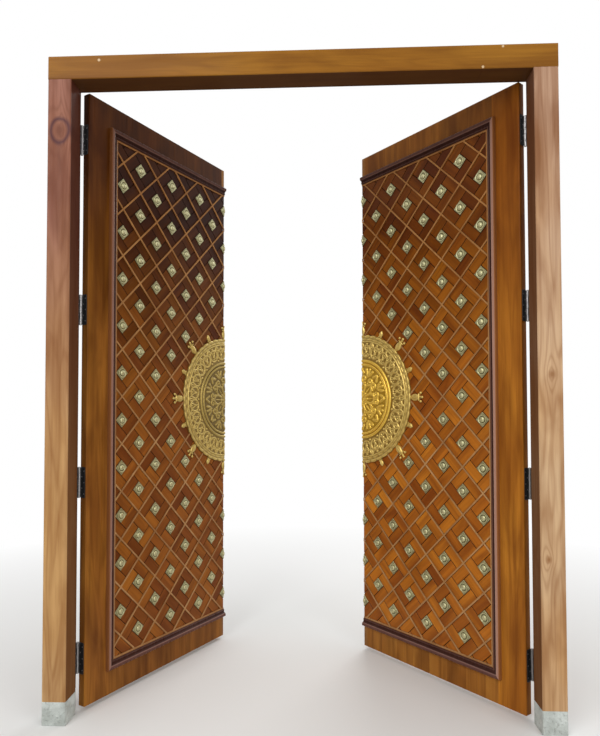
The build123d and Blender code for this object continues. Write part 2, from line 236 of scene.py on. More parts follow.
def growth_lines(tree, place, spots, lines, knots):
    """Dark lines along the grain, which bend round the knots."""
    phase = calc(tree, "MULTIPLY", squashed_noise(tree, place, 0.085, 9.0, 1.5, 0.5), lines * 2 * pi)
    for centre, radius, swirl in knots:
        distance = spot_distance(tree, spots, centre, radius, 0.55)
        near = calc(tree, "DIVIDE", swirl, calc(tree, "MULTIPLY_ADD", distance, distance, 1.0))
        phase = calc(tree, "ADD", phase, near)
    wave = calc(tree, "MULTIPLY_ADD", calc(tree, "SINE", phase), 0.5, 0.5)
    return calc(tree, "POWER", wave, 2.5)


def spot_layers(tree, spots, blotch, dark, knots, rings, plugs):
    """Layers of colour for knots, stained rings, and plugs over sunk screws."""
    layers = []
    for centre, radius, _ in knots:
        distance = spot_distance(tree, spots, centre, radius * 0.5, 0.8)
        layers.append((distance, 0.3, 1.3, 0.75, 0.0, dark))
    for centre, radius, colour in rings:
        distance = spot_distance(tree, spots, centre, radius, 0.76)
        middle = calc(tree, "MULTIPLY_ADD", blotch, 0.5, 0.75)
        off_ring = calc(tree, "ABSOLUTE", calc(tree, "SUBTRACT", distance, middle))
        layers.append((off_ring, 0.02, 0.30, 0.70, 0.0, rgb(*colour)))
    for centre, radius, colour in plugs:
        distance = spot_distance(tree, spots, centre, radius, 1.0)
        layers.append((distance, 1.15, 1.5, 0.6, 0.0, dark))
        layers.append((distance, 0.9, 1.1, 0.9, 0.0, rgb(*colour)))
    return layers


def band_colours(tree, bands):
    """Colours across a moulding, from pairs of a share of its width and a colour."""
    ramp = put(tree, "ShaderNodeValToRGB", {0: stored(tree, "across")})
    elements = ramp.color_ramp.elements
    elements[0].color, elements[-1].color = rgb(*bands[0][1]), rgb(*bands[-1][1])
    for place, colour in bands[1:-1]:
        elements.new(place).color = rgb(*colour)
    return ramp.outputs[0]


def wood(name, tones, turn=0.0, along="Z", lines=9.0, line_share=0.35, stave=0.0, by_board=False,
         knots=(), rings=(), plugs=(), weathering_and_shade=None, reveal_shade=None, bands=None, gloss=0.32):
    """Varnished wood. tones are its dark, middle and light colours.

    stave is the width of the boards that it is glued up from, fade a tint with the heights
    between which it darkens the wood towards the top, partly weathering and partly painted
    shade, reveal the colour of painted shade on the faces behind the front face, and bands the
    colours across a moulding, with painted highlights and painted shade among them. A layer is
    a value, the range that it is read over, the shares of colour at that range's ends, and the
    colour.
    """
    material, tree, shader = new_material(name)
    dark, middle, light = (rgb(*tone) for tone in tones)
    place, share = board_place(tree) if by_board else (grain_place(tree, turn, along), None)
    spots = place
    if stave:
        place, share = stave_place(tree, place, stave)
    line = growth_lines(tree, place, spots, lines, knots)
    fibre = squashed_noise(tree, place, 0.014, 300.0, 3.0)
    streak = squashed_noise(tree, place, 0.02, 45.0)
    cloud = squashed_noise(tree, place, 0.3, 4.0)
    blotch = squashed_noise(tree, place, 0.22, 9.0, 3.0, 0.6)
    layers = [(cloud, 0.38, 0.70, 0.0, 1.0, light), (blotch, 0.42, 0.66, 0.0, 0.70, dark)]
    if share is not None:
        contrast = 1.0 if by_board else 0.4
        layers.append((share, 0.0, 0.5, 0.55 * contrast, 0.0, dark))
        layers.append((share, 0.55, 1.0, 0.0, 0.50 * contrast, light))
    layers.append((line, 0.0, 1.0, 0.0, line_share, dark))
    layers.append((streak, 0.45, 0.75, 0.0, 0.40, dark))
    layers.append((fibre, 0.52, 0.72, 0.0, 0.35, dark))
    layers += spot_layers(tree, spots, blotch, dark, knots, rings, plugs)
    roughness = rescale(tree, streak, 0.3, 0.7, gloss - 0.05, gloss + 0.12)
    # Faces behind the front face get a painted shade colour and a duller finish
    if reveal_shade:
        reveal_shade_share = rescale(tree, axis_of(tree, object_place(tree), 1), 0.003, 0.006, 0.0, 0.85)
        layers.append((reveal_shade_share, 0.0, 1.0, 0.0, 1.0, rgb(*reveal_shade)))
        roughness = calc(tree, "MAXIMUM", roughness, reveal_shade_share)
    if by_board:
        # Painted shade in the grooves between boards, on the lower part of each chamfer
        layers.append((stored(tree, "edge"), 0.0, 1.0, 0.0, 0.9, rgb(0.030, 0.010, 0.004)))
    surface = middle
    for value, start, end, low, high, colour in layers:
        surface = blended(tree, rescale(tree, value, start, end, low, high), surface, colour)
    # The band colours hold painted highlights on the crest and painted shade in the hollows
    if bands:
        surface = blended(tree, 0.8, surface, band_colours(tree, bands))
    # Darker towards the top: partly weathering, partly painted shade
    if weathering_and_shade:
        tint, low, high = weathering_and_shade
        upward = calc(tree, "SUBTRACT", axis_of(tree, object_place(tree), 2), 0.4)
        uneven = calc(tree, "MULTIPLY_ADD", cloud, 0.8, upward)
        surface = blended(tree, rescale(tree, uneven, low, high), surface, rgb(*tint), "MULTIPLY")
    height = calc(tree, "SUBTRACT", calc(tree, "MULTIPLY", fibre, -0.6), calc(tree, "MULTIPLY", line, 0.2))
    finish_surface(tree, shader, surface, roughness, (height, 0.0008, 0.35), varnish)
    return material


# Metal, gilding and cement

def gilding(name, bright, deep, metallic, gloss):
    """Gold finish: bright on what stands up and dull in the hollows of the carving."""
    material, tree, shader = new_material(name)
    place = object_place(tree)
    raised = stored(tree, "raised")
    mottle = noise(tree, place, 60.0, 4.0)
    speck = noise(tree, place, 420.0, 2.0)
    lifted = calc(tree, "ADD", raised, calc(tree, "MULTIPLY", calc(tree, "SUBTRACT", mottle, 0.5), 0.5))
    colour = blended(tree, rescale(tree, lifted, 0.05, 0.85), rgb(*deep), rgb(*bright))
    roughness = rescale(tree, mottle, 0.3, 0.7, gloss, gloss + 0.16)
    height = calc(tree, "ADD", speck, calc(tree, "MULTIPLY", mottle, 1.5))
    finish_surface(tree, shader, colour, roughness, (height, 0.0006, 0.4), {"Metallic": metallic})
    return material


def plain_metal(name, colour, wear_and_highlight, gloss, metallic=1.0):
    """Metal or enamel with fine brushing along Z and small worn spots."""
    material, tree, shader = new_material(name)
    place = object_place(tree)
    drawn = put(tree, "ShaderNodeMapping", {"Vector": place, "Scale": (1, 1, 0.2)}).outputs[0]
    brushing = noise(tree, drawn, 900.0, 2.0)
    spots = noise(tree, place, 160.0, 3.0)
    surface = blended(tree, rescale(tree, spots, 0.58, 0.72), rgb(*colour), rgb(*wear_and_highlight))
    roughness = rescale(tree, brushing, 0.3, 0.7, gloss, gloss + 0.15)
    finish_surface(tree, shader, surface, roughness, (brushing, 0.0002, 0.4), {"Metallic": metallic})
    return material


def cement():
    """Pale trowelled cement with sand grains, pits and faint stains."""
    material, tree, shader = new_material("cement_grey")
    place = object_place(tree)
    stain = noise(tree, place, 14.0, 4.0)
    grit = noise(tree, place, 260.0, 3.0)
    pit = noise(tree, place, 75.0, 5.0)
    surface = blended(tree, rescale(tree, stain, 0.35, 0.65), rgb(0.40, 0.43, 0.40), rgb(0.62, 0.66, 0.63))
    surface = blended(tree, rescale(tree, grit, 0.55, 0.70, 0.0, 0.45), surface, rgb(0.22, 0.23, 0.21))
    surface = blended(tree, rescale(tree, pit, 0.60, 0.72, 0.0, 0.6), surface, rgb(0.30, 0.31, 0.27))
    height = calc(tree, "SUBTRACT", grit, calc(tree, "MULTIPLY", rescale(tree, pit, 0.55, 0.7), 1.4))
    roughness = rescale(tree, grit, 0.3, 0.7, 0.75, 0.95)
    finish_surface(tree, shader, surface, roughness, (height, 0.003, 0.8))
    return material


# Meshes

def add_object(name, data):
    """A new object in the scene."""
    thing = bpy.data.objects.new(name, data)
    bpy.context.scene.collection.objects.link(thing)
    return thing


def crisp(mesh, angle=38):
    """Smooth shading, apart from edges that turn by more than an angle in degrees."""
    mesh.polygons.foreach_set("use_smooth", [True] * len(mesh.polygons))
    mesh.set_sharp_from_angle(angle=radians(angle))
    return mesh


def from_bmesh(name, shape):
    bmesh.ops.recalc_face_normals(shape, faces=shape.faces[:])
    mesh = bpy.data.meshes.new(name)
    shape.to_mesh(mesh)
    shape.free()
    return mesh


def new_mesh(name, points, faces):
    mesh = bpy.data.meshes.new(name)
    mesh.from_pydata(points, [], faces)
    shape = bmesh.new()
    shape.from_mesh(mesh)
    bpy.data.meshes.remove(mesh)
    return from_bmesh(name, shape)


def lathe(name, profile, segments):
    """A turned shape about Z. The profile runs from pole to pole as (radius, height) pairs."""
    turns = [2 * pi * number / segments for number in range(segments)]
    points = [(0, 0, profile[0][1])]
    for radius, height in profile[1:-1]:
        points += [(radius * cos(turn), radius * sin(turn), height) for turn in turns]
    points.append((0, 0, profile[-1][1]))
    rows = len(profile) - 2
    faces = []
    for number in range(segments):
        beside = (number + 1) % segments
        faces.append((0, 1 + beside, 1 + number))
        for row in range(rows - 1):
            low, high = 1 + row * segments, 1 + (row + 1) * segments
            faces.append((low + number, low + beside, high + beside, high + number))
        last = 1 + (rows - 1) * segments
        faces.append((last + number, last + beside, len(points) - 1))
    return new_mesh(name, points, faces)


def rise(edge):
    """How far an edge climbs."""
    return abs(edge.verts[0].co.z - edge.verts[1].co.z)


def slab(name, size, centre=(0, 0, 0), corner=0.0, chamfer=0.0):
    """A block with rounded upright corners and chamfered upper and lower edges."""
    shape = bmesh.new()
    bmesh.ops.create_cube(shape, size=1.0)
    bmesh.ops.scale(shape, vec=size, verts=shape.verts[:])
    for cut, segments, upright in ((corner, 4, True), (chamfer, 1, False)):
        if cut:
            edges = [edge for edge in shape.edges if (rise(edge) > 1e-6) == upright]
            bmesh.ops.bevel(shape, geom=edges, offset=cut, segments=segments, profile=0.5, affect="EDGES")
    bmesh.ops.translate(shape, vec=centre, verts=shape.verts[:])
    return from_bmesh(name, shape)


def pod(name, rows, steps=8):
    """A half-round carved shape along X. rows are (distance along, half width, height)."""
    points, faces = [], []
    for along, half, height in rows:
        turns = [pi * number / steps for number in range(steps + 1)]
        points += [(along, half * cos(turn), height * sin(turn)) for turn in turns]
    count = steps + 1
    for row in range(len(rows) - 1):
        for step in range(count):
            first, beside = row * count + step, row * count + (step + 1) % count
            faces.append((first, beside, beside + count, first + count))
    faces.append(tuple(range(count)))
    faces.append(tuple(range(len(points) - count, len(points))))
    return new_mesh(name, points, faces)


def prism(name, first_ring, last_ring):
    """A closed solid between two outlines with the same number of points."""
    count = len(first_ring)
    faces = [(step, (step + 1) % count, (step + 1) % count + count, step + count) for step in range(count)]
    faces += [tuple(range(count)), tuple(range(count, 2 * count))]
    return new_mesh(name, first_ring + last_ring, faces)


def moved(mesh, offset=(0, 0, 0), turn=0.0, scale=1.0):
    """Scale, turn about Z and shift a mesh in place."""
    mesh.transform(Matrix.Translation(offset) @ Matrix.Rotation(turn, 4, "Z") @ Matrix.Scale(scale, 4))
    return mesh


def joined(name, meshes):
    """One mesh from several, which are used up. Attributes are kept where the first one has them."""
    holders = [add_object(f"{name}_{number}", mesh) for number, mesh in enumerate(meshes)]
    with bpy.context.temp_override(active_object=holders[0], selected_editable_objects=holders):
        bpy.ops.object.join()
    mesh = holders[0].data
    mesh.name = name
    bpy.data.objects.remove(holders[0])
    return mesh


def trimmed(mesh, planes):
    """Cut closed shapes by planes and close the cuts. What lies on a plane's normal side goes."""
    shape = bmesh.new()
    shape.from_mesh(mesh)
    for point, normal in planes:
        everything = shape.verts[:] + shape.edges[:] + shape.faces[:]
        bmesh.ops.bisect_plane(shape, geom=everything, plane_co=point, plane_no=normal, clear_outer=True)
        bmesh.ops.edgeloop_fill(shape, edges=[edge for edge in shape.edges if edge.is_boundary])
    bmesh.ops.recalc_face_normals(shape, faces=shape.faces[:])
    shape.to_mesh(mesh)
    shape.free()
    return mesh


def place_piece(name, mesh, body, node, material=None):
    """Make a finished piece of a mesh, hang it on the body that it rides on, and hide the part that it stands
    for.
    """
    mesh.name = name
    piece = add_object(name, mesh)
    if material:
        mesh.materials.clear()
        mesh.materials.append(material)
    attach(piece, body)
    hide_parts(node)


# Geometry trees. Each takes one small piece and gives its copies.

def new_tree(name, inputs):
    tree = bpy.data.node_groups.new(name, "GeometryNodeTree")
    tree.interface.new_socket("Geometry", in_out="INPUT", socket_type="NodeSocketGeometry")
    for label, kind in inputs.items():
        tree.interface.new_socket(label, in_out="INPUT", socket_type=f"NodeSocket{kind}")
    tree.interface.new_socket("Geometry", in_out="OUTPUT", socket_type="NodeSocketGeometry")
    return tree, tree.nodes.new("NodeGroupInput").outputs


def close_tree(tree, given, copies):
    """Turn the copies into one mesh with its material."""
    whole = put(tree, "GeometryNodeRealizeInstances", {"Geometry": copies}).outputs[0]
    painted = put(tree, "GeometryNodeSetMaterial", {"Geometry": whole, "Material": given["Material"]})
    put(tree, "NodeGroupOutput", {0: painted.outputs[0]})
    return tree


def copies_at(tree, places, piece, turn):
    """Copies of a piece at places, each turned about Z."""
    rotation = put(tree, "ShaderNodeCombineXYZ", {2: turn}).outputs[0]
    inputs = {"Points": places, "Instance": piece, "Rotation": rotation}
    return put(tree, "GeometryNodeInstanceOnPoints", inputs).outputs[0]


def diagonal_grid_tree():
    """Copies at the crossings of a diagonal grid, inside a window and outside a circle."""
    sizes = ("Pitch", "Half width", "Half height", "Clear radius")
    inputs = {label: "Float" for label in sizes} | {"Rows": "Int", "Turns": "Int", "Seed": "Int"}
    tree, given = new_tree("diagonal_grid", inputs | {"Material": "Material"})
    spacing = calc(tree, "DIVIDE", given["Pitch"], sqrt(2))
    size = calc(tree, "MULTIPLY", spacing, calc(tree, "SUBTRACT", given["Rows"], 1.0))
    square = {"Size X": size, "Size Y": size, "Vertices X": given["Rows"], "Vertices Y": given["Rows"]}
    grid = put(tree, "GeometryNodeMeshGrid", square).outputs[0]
    slanted = put(tree, "GeometryNodeTransform", {"Geometry": grid, "Rotation": (0, 0, pi / 4)}).outputs[0]
    place = put(tree, "GeometryNodeInputPosition").outputs[0]
    x, y, _ = put(tree, "ShaderNodeSeparateXYZ", {0: place}).outputs
    wide = calc(tree, "GREATER_THAN", calc(tree, "ABSOLUTE", x), given["Half width"])
    high = calc(tree, "GREATER_THAN", calc(tree, "ABSOLUTE", y), given["Half height"])
    near = calc(tree, "LESS_THAN", place_calc(tree, "LENGTH", place), given["Clear radius"])
    gone = calc(tree, "ADD", calc(tree, "ADD", wide, high), near)
    kept = put(tree, "GeometryNodeDeleteGeometry", {"Geometry": slanted, "Selection": gone}).outputs[0]
    times = {"Geometry": kept, "Amount": given["Turns"]}
    each = put(tree, "GeometryNodeDuplicateElements", times, domain="POINT")
    quarter = calc(tree, "MULTIPLY_ADD", each.outputs["Duplicate Index"], pi / 2, pi / 4)
    copies = copies_at(tree, each.outputs["Geometry"], given["Geometry"], quarter)
    chance = put(tree, "FunctionNodeRandomValue", {"Seed": given["Seed"]}, data_type="FLOAT").outputs[1]
    shade = {"Geometry": copies, "Name": "shade", "Value": chance}
    shaded = put(tree, "GeometryNodeStoreNamedAttribute", shade, domain="INSTANCE", data_type="FLOAT")
    return close_tree(tree, given, shaded.outputs[0])


def ring_tree():
    """Copies round a circle, each turned to face outwards."""
    inputs = {"Count": "Int", "Radius": "Float", "First angle": "Float", "Material": "Material"}
    tree, given = new_tree("ring", inputs)
    circle = {"Vertices": given["Count"], "Radius": given["Radius"]}
    ring = put(tree, "GeometryNodeMeshCircle", circle).outputs[0]
    start = put(tree, "ShaderNodeCombineXYZ", {2: given["First angle"]}).outputs[0]
    turned = put(tree, "GeometryNodeTransform", {"Geometry": ring, "Rotation": start}).outputs[0]
    place = put(tree, "GeometryNodeInputPosition").outputs[0]
    x, y, _ = put(tree, "ShaderNodeSeparateXYZ", {0: place}).outputs
    copies = copies_at(tree, turned, given["Geometry"], calc(tree, "ARCTAN2", y, x))
    return close_tree(tree, given, copies)


def row_tree():
    """Copies in a straight row, one step apart."""
    tree, given = new_tree("row", {"Count": "Int", "Step": "Vector", "Material": "Material"})
    steps = {"Count": given["Count"], "Offset": given["Step"]}
    line = put(tree, "GeometryNodeMeshLine", steps, mode="OFFSET")
    copies = copies_at(tree, line.outputs[0], given["Geometry"], 0.0)
    return close_tree(tree, given, copies)


def grow(tree, mesh, **values):
    """Run a geometry tree on a small piece, and give the plain mesh that comes out."""
    holder = add_object("holder", mesh)
    modifier = holder.modifiers.new("copies", "NODES")
    modifier.node_group = tree
    labels = {label.replace("_", " ").capitalize(): value for label, value in values.items()}
    for item in tree.interface.items_tree:
        if item.in_out == "INPUT" and item.name in labels:
            modifier[item.identifier] = labels[item.name]
    graph = bpy.context.evaluated_depsgraph_get()
    grown = holder.evaluated_get(graph)
    result = bpy.data.meshes.new_from_object(grown, preserve_all_data_layers=True, depsgraph=graph)
    holder.modifiers.remove(modifier)
    bpy.data.objects.remove(holder)
    return result


# Places of the open leaves

def leaf_matrix(side):
    """Takes the closed door's pattern, x to the right and z outwards, to the open leaf."""
    sign, angle = signs[side], open_angles[side]
    across = Vector((cos(angle), sign * sin(angle), 0))
    up = Vector((0, 0, 1))
    outward = across.cross(up)
    axis = hinge_axes[f"{side}_leaf"]
    origin = Vector((axis.x, axis.y, pattern_height))
    origin += across * sign * (axis_to_edge + centre_line) + outward * axis_to_face
    matrix = Matrix((across, up, outward)).transposed().to_4x4()
    matrix.translation = origin
    return matrix


def hinge_matrix(side, with_leaf):
    """Level axes at the foot of a hinge line: x across, y into the building."""
    turn = signs[side] * open_angles[side] if with_leaf else 0.0
    axis = hinge_axes[f"{side}_leaf"]
    return Matrix.Translation((axis.x, axis.y, 0)) @ Matrix.Rotation(turn, 4, "Z")


def on_field(mesh, side, planes, angle=38):
    """Trim a mesh in pattern coordinates and put it on a leaf."""
    trimmed(mesh, planes)
    mesh.transform(leaf_matrix(side))
    return crisp(mesh, angle)


def field_planes(side, inner, outer, end):
    """Planes that bound one leaf's part of the pattern."""
    sign = -signs[side]
    return [
        ((sign * inner, 0, 0), (-sign, 0, 0)),
        ((sign * outer, 0, 0), (sign, 0, 0)),
        ((0, end, 0), (0, 1, 0)),
        ((0, -end, 0), (0, -1, 0)),
    ]


# Moulding

def moulding_profile():
    """Points round the moulding's section: distance in from its outer line, and height.

    A steep outer side, a rounded crest, a hollow, a small bead and a lip.
    """
    rise = [(0, 0), (0, 0.0150), (0.0008, 0.0185), (0.0025, 0.0208), (0.0050, 0.0219)]
    crest = [(0.0090, 0.0220), (0.0140, 0.0218), (0.0175, 0.0209), (0.0195, 0.0193), (0.0200, 0.0172)]
    hollow = [(0.0215, 0.0140), (0.0245, 0.0112), (0.0290, 0.0094), (0.0335, 0.0088), (0.0340, 0.0098)]
    bead = [(0.0358, 0.0110), (0.0382, 0.0112), (0.0402, 0.0102), (0.0412, 0.0082)]
    lip = [(0.0435, 0.0064), (0.0465, 0.0054), (moulding_width, 0.0050), (moulding_width, 0)]
    return rise + crest + hollow + bead + lip


def make_mouldings(side, materials):
    """Three mitred lengths round the field, each with its place across stored for its colours."""
    outward = -signs[side]
    profile = moulding_profile()
    corner, edge = {}, {}
    for end in (-1, 1):
        corner[end] = [(outward * (moulding_side - p), end * (moulding_end - p), z) for p, z in profile]
        edge[end] = [(outward * proud_edge, end * (moulding_end - p), z) for p, z in profile]
    lengths = {"side": (corner[-1], corner[1]), "top": (corner[1], edge[1]), "bottom": (corner[-1], edge[-1])}
    for name, (start, end) in lengths.items():
        mesh = prism(name, start, end)
        across = mesh.attributes.new("across", "FLOAT", "POINT")
        for point, value in zip(mesh.vertices, across.data):
            inset = min(moulding_side - abs(point.co.x), moulding_end - abs(point.co.y))
            value.value = (inset if name == "side" else moulding_end - abs(point.co.y)) / moulding_width
        mesh.transform(leaf_matrix(side))
        node = f"{side}_{name}_moulding"
        material = materials["side" if name == "side" else "rail"]
        place_piece(f"{node}_run", crisp(mesh, 32), f"{side}_leaf", node, material)


# Field

def board_piece(name, length, width):
    """A chamfered board that stores its grain's direction and which points lie low on its chamfer, where the
    grooves between boards get painted shade.
    """
    board = slab(name, (length, width, board_thickness), chamfer=board_chamfer)
    grain = board.attributes.new("grain", "FLOAT_VECTOR", "POINT")
    for corner, place in zip(board.vertices, grain.data):
        place.vector = (corner.co.y, corner.co.z, corner.co.x)
    # Points low on the chamfer, which take the painted shade of the grooves
    edge = board.attributes.new("edge", "FLOAT", "POINT")
    for corner, low in zip(board.vertices, edge.data):
        low.value = float(corner.co.z < board_thickness / 2 - board_chamfer / 2)
    return board


def make_boards(side, tree, material):
    """Four boards round each boss, laid as a pinwheel that turns the other way on each leaf."""
    half_cell, half_hole = lattice_pitch / sqrt(2) / 2, boss_square / 2
    low_x, high_x = -half_hole + board_gap, half_cell - strip_cover
    low_y, high_y = half_hole + board_gap, half_cell - strip_cover
    board = board_piece("board", high_x - low_x, high_y - low_y)
    centre = (-signs[side] * (low_x + high_x) / 2, (low_y + high_y) / 2, -board_thickness / 2)
    filler = board_piece("filler", boss_square - board_gap, boss_square - board_gap)
    moved(board, centre)
    moved(filler, (0, 0, -board_thickness / 2 - filler_drop))
    window = {
        "pitch": lattice_pitch, "half_width": field_side + lattice_pitch / 2, "material": material,
        "half_height": field_end + lattice_pitch / 2, "clear_radius": board_clear_radius, "rows": grid_rows,
    }
    laid = grow(tree, board, turns=4, seed=11, **window)
    boards = joined("boards", [laid, grow(tree, filler, turns=1, seed=12, **window)])
    on_field(boards, side, field_planes(side, leaf_edge, field_side, field_end))
    place_piece(f"{side}_pinwheel_boards", boards, f"{side}_leaf", f"{side}_field_boards")


def boss_mesh():
    """A square plate on its corner, with a round rim, a hollow and a domed button."""
    top = 0.004
    plate = slab("plate", (boss_side, boss_side, top), (0, 0, top / 2), 0.0012, 0.0012)
    profile = [
        (0, top - 0.001), (0.0262, top - 0.001), (0.0262, 0.0058), (0.0250, 0.0076), (0.0225, 0.0080),
        (0.0198, 0.0070), (0.0180, 0.0048), (0.0150, 0.0046), (0.0138, 0.0078), (0.0105, 0.0106),
        (0.0055, 0.0118), (0, 0.0120),
    ]
    return joined("boss", [plate, lathe("button", profile, 18)])


def make_bosses(side, tree, material):
    half_diagonal = boss_side / sqrt(2)
    bosses = grow(
        tree, boss_mesh(), pitch=lattice_pitch, half_width=window_side - half_diagonal,
        half_height=window_end - half_diagonal, clear_radius=boss_clear_radius,
        rows=grid_rows, turns=1, seed=5, material=material,
    )
    on_field(bosses, side, field_planes(side, proud_edge, field_side, field_end))
    mark_raised(bosses, side, (0.0025, 0.0040, 0.0045, 0.0050, 0.0076), (0.20, 0.55, 0.08, 0.08, 1.0))
    place_piece(f"{side}_cast_bosses", bosses, f"{side}_leaf", f"{side}_bosses")


def mark_raised(mesh, side, levels, shares, sunk_radius=0.0, sunk=0.0):
    """Store how bright each point is, from its height above the field.

    Inside sunk_radius of the leaf's centre the heights count from a higher ground.
    """
    back = leaf_matrix(side).inverted()
    places = np.array([back @ corner.co for corner in mesh.vertices])
    inside = np.hypot(places[:, 0], places[:, 1]) < sunk_radius
    raised = np.interp(places[:, 2] - np.where(inside, sunk, 0), levels, shares)
    mesh.attributes.new("raised", "FLOAT", "POINT").data.foreach_set("value", raised)


# Medallion: a relief worked out over a fan of radii, closed into a solid

def bead(distance, half_width, height):
    """A rounded ridge over a line, from the distance to that line."""
    return height * np.sqrt(np.clip(1 - (distance / half_width) ** 2, 0, 1))


def line_distance(x, y, line):
    """Distance to a line of points."""
    nearest = np.full_like(x, 1.0)
    for (start_x, start_y), (end_x, end_y) in zip(line, line[1:]):
        run_x, run_y = end_x - start_x, end_y - start_y
        share = ((x - start_x) * run_x + (y - start_y) * run_y) / (run_x**2 + run_y**2)
        share = np.clip(share, 0, 1)
        nearest = np.minimum(nearest, np.hypot(x - start_x - share * run_x, y - start_y - share * run_y))
    return nearest


def folded(x, y, count, first=0.0):
    """Coordinates in one sector of a circle: out along its middle, and off to one side."""
    radius = np.hypot(x, y)
    step = 2 * pi / count
    angle = np.abs((np.arctan2(y, x) - first + step / 2) % step - step / 2)
    return radius * np.cos(angle), radius * np.sin(angle)


def rim_edge(angle):
    """Distance from the centre to the scalloped rim at an angle."""
    return rim_radius - scallop_depth * (1 - np.abs(np.cos(scallop_count / 2 * angle)))


def scroll(centre, radius, start, turns, ends=0.25, steps=18):
    """A spiral that closes in on its centre."""
    line = []
    for number in range(steps + 1):
        share = number / steps
        reach = radius * (1 - (1 - ends) * share)
        turn = start + turns * 2 * pi * share
        line.append((centre[0] + reach * cos(turn), centre[1] + reach * sin(turn)))
    return line


def berries(out, aside, places):
    """Round beads; places are (distance out, distance aside, radius, height)."""
    relief = np.zeros_like(out)
    for centre_out, centre_aside, radius, height in places:
        relief = np.maximum(relief, bead(np.hypot(out - centre_out, aside - centre_aside), radius, height))
    return relief


def strands(out, aside, rows):
    """Rounded ridges over lines; rows are (line, half width, height)."""
    relief = np.zeros_like(out)
    for line, half_width, height in rows:
        relief = np.maximum(relief, bead(line_distance(out, aside, line), half_width, height))
    return relief


def rim_relief(x, y):
    """An inner bead and two rows of rounded lobes along the rim."""
    radius, angle = np.hypot(x, y), np.arctan2(y, x)
    edge = rim_edge(angle)
    lobes = np.abs(np.cos(scallop_count / 2 * angle))
    between_lobes = np.abs(np.sin(scallop_count / 2 * angle))
    outer = bead(edge - 0.0085 - radius, 0.0085, 0.0045) * (0.35 + 0.65 * lobes)
    inner = bead(radius - 0.3695, 0.0065, 0.0040) * (0.30 + 0.70 * between_lobes)
    step = bead(radius - rim_start, rim_bead_width, 0.0050)
    ground = plate_top + np.clip((edge - radius) / 0.003, 0, 1) * 0.001
    return np.where(radius > rim_start - rim_bead_width, ground + np.maximum.reduce([outer, inner, step]), 0)


def band_relief(x, y):
    """A row of round loops between the ring and the rim, with berries and leaves."""
    out, aside = folded(x, y, loop_count, pi / loop_count)
    loop = np.abs(np.hypot(out - 0.2985, aside) - 0.0345)
    loops = bead(loop, 0.0058, 0.0056) - bead(loop, 0.0015, 0.0014)
    leaves = strands(out, aside, [
        ([(0.322, 0.027), (0.334, 0.030), (0.346, 0.040)], 0.0048, 0.0050),
        ([(0.302, 0.004), (0.314, 0.0135), (0.322, 0.013)], 0.0046, 0.0048),
        ([(0.268, 0.0), (0.284, 0.0)], 0.0042, 0.0042),
    ])
    inside = berries(out, aside, [
        (0.2925, 0.0, 0.0098, 0.0062), (0.3180, 0.0, 0.0060, 0.0046), (0.3440, 0.0, 0.0078, 0.0052),
        (0.2800, 0.0135, 0.0048, 0.0040),
    ])
    out, aside = folded(x, y, loop_count)
    between = berries(out, aside, [
        (0.2600, 0.0, 0.0075, 0.0050), (0.2780, 0.0, 0.0048, 0.0040), (0.3130, 0.0, 0.0046, 0.0040),
        (0.3250, 0.0, 0.0060, 0.0050),
    ])
    spears = strands(out, aside, [([(0.333, 0.0), (0.350, 0.0)], 0.0060, 0.0050)])
    return plate_top + np.maximum.reduce([loops, leaves, inside, between, spears])


def ring_relief(radius):
    """Two broad rounded ridges with deep grooves beside and between them."""
    outer = bead(radius - 0.2370, 0.0088, 0.0078)
    inner = bead(radius - 0.2145, 0.0082, 0.0078)
    return 0.0082 + np.maximum(outer, inner)


def disc_relief(x, y):
    """Rosette of palmettes between paired scrolls."""
    out, aside = folded(x, y, palmette_count, pi / palmette_count)
    palm = [(0.150, 0.0, 0.192, 0.0), (0.158, 0.012, 0.184, 0.027), (0.158, 0.046, 0.174, 0.068)]
    rows = [
        ([(0.040, 0.0), (0.074, 0.0), (0.090, 0.008), (0.098, 0.018)], 0.0078, 0.0050),
        (scroll((0.1240, 0.0260), 0.0250, -pi * 0.80, -1.15, 0.20), 0.0072, 0.0052),
        ([(0.058, 0.024), (0.080, 0.036), (0.104, 0.048), (0.128, 0.053)], 0.0060, 0.0046),
        *(([leaf[:2], leaf[2:]], 0.0088, 0.0054) for leaf in palm),
    ]
    petals = strands(*folded(x, y, palmette_count), [([(0.020, 0.0), (0.044, 0.0)], 0.0098, 0.0050)])
    heart = bead(np.hypot(x, y), 0.0150, 0.0054)
    return disc_ground + np.maximum.reduce([strands(out, aside, rows), petals, heart])


def medallion_height(x, y):
    """Height of the carving above the leaf's face."""
    radius = np.hypot(x, y)
    middle_parts = np.where(radius < ring_inner, disc_relief(x, y), ring_relief(radius))
    height = np.where(radius < ring_outer, middle_parts, band_relief(x, y))
    return np.maximum(height, rim_relief(x, y))


# Rows of the relief's points over the disc, the ring and the band, and steps round the half circle
disc_rows, ring_rows, band_rows = 80, 24, 66
relief_steps = 440


def relief_radii(angles):
    """Radii of the relief's points, from near the centre out to the scalloped rim."""
    disc = np.linspace(0.002, ring_inner, disc_rows, endpoint=False)
    ring = np.linspace(ring_inner, ring_outer, ring_rows, endpoint=False)
    inner = np.repeat(np.concatenate([disc, ring])[:, None], len(angles), axis=1)
    shares = np.linspace(0, 1, band_rows)[:, None]
    return np.concatenate([inner, ring_outer + (rim_edge(angles)[None, :] - ring_outer) * shares])


